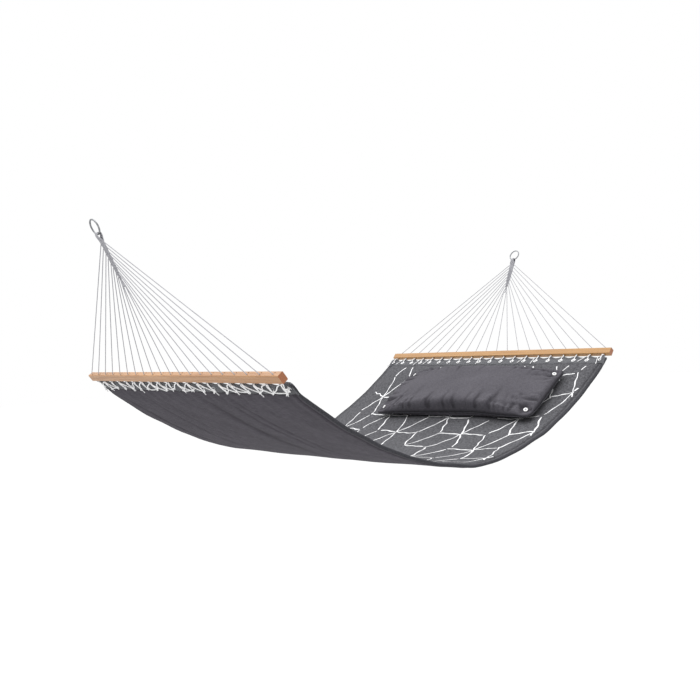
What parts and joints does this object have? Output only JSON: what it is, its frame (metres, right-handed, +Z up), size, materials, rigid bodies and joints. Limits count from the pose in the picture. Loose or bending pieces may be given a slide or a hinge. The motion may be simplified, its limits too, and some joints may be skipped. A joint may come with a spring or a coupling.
{
  "type": "quilted hammock with spreader bars",
  "caption": "Quilted double hammock with wooden spreader bars, rope fans woven into a clew below a steel hanging ring at each end, and a head pillow held by press studs.",
  "frame": {"origin": "centre of the foot ring's eye, which the foot hook passes through", "axes": "+X runs level from the foot ring's centre to the head ring's centre, +Y across the bed to the sleeper's right when lying on their back, +Z up"},
  "size_m": [2.3844, 1.4, 0.9525],
  "materials": {
    "ring_steel": "bright welded steel wire",
    "rope": "soft-spun white polyester rope, three-strand",
    "bar_wood": "honey-stained hardwood under satin varnish",
    "eyelet": "white moulded eyelets",
    "printed_fabric": "grey woven outdoor cloth with an irregular white line print",
    "padding": "white polyester wadding",
    "plain_fabric": "plain charcoal outdoor cloth",
    "binding": "dark woven binding tape",
    "pillow_fabric": "plain charcoal outdoor cloth",
    "stud_metal": "nickel-plated snap studs",
    "snap_cap": "white snap caps with a grey centre"
  },
  "bodies": {
    "rings": {"foot_ring": "ring_steel", "head_ring": "ring_steel"},
    "hammock": {"foot_clew": "rope", "head_clew": "rope", "foot_bar": "bar_wood", "head_bar": "bar_wood", "foot_lacing": "rope", "head_lacing": "rope", "foot_tails": "rope", "head_tails": "rope", "foot_eyelets": "eyelet", "head_eyelets": "eyelet", "foot_hem_band": "printed_fabric", "head_hem_band": "printed_fabric", "bed_cover": "printed_fabric", "bed_padding": "padding", "bed_back": "plain_fabric", "left_binding": "binding", "right_binding": "binding", "snap_studs": "stud_metal", "foot_rope_01": "rope", "foot_rope_02": "rope", "foot_rope_03": "rope", "foot_rope_04": "rope", "foot_rope_05": "rope", "foot_rope_06": "rope", "foot_rope_07": "rope", "foot_rope_08": "rope", "foot_rope_09": "rope", "foot_rope_10": "rope", "head_rope_01": "rope", "head_rope_02": "rope", "head_rope_03": "rope", "head_rope_04": "rope", "head_rope_05": "rope", "head_rope_06": "rope", "head_rope_07": "rope", "head_rope_08": "rope", "head_rope_09": "rope", "head_rope_10": "rope"},
    "pillow": {"pillow_cover": "pillow_fabric", "pillow_filling": "padding", "snap_caps": "snap_cap"}
  },
  "joints": [
    {"name": "swing", "type": "hinge", "parent": "rings", "child": "hammock", "pos_m": [0, 0, 0], "axis": [1, 0, 0], "range_deg": [-30, 30]},
    {"name": "pillow_lift", "type": "slide", "parent": "hammock", "child": "pillow", "axis": [-0.4718, 0, 0.8817], "range_m": [0, 0.3]}
  ]
}
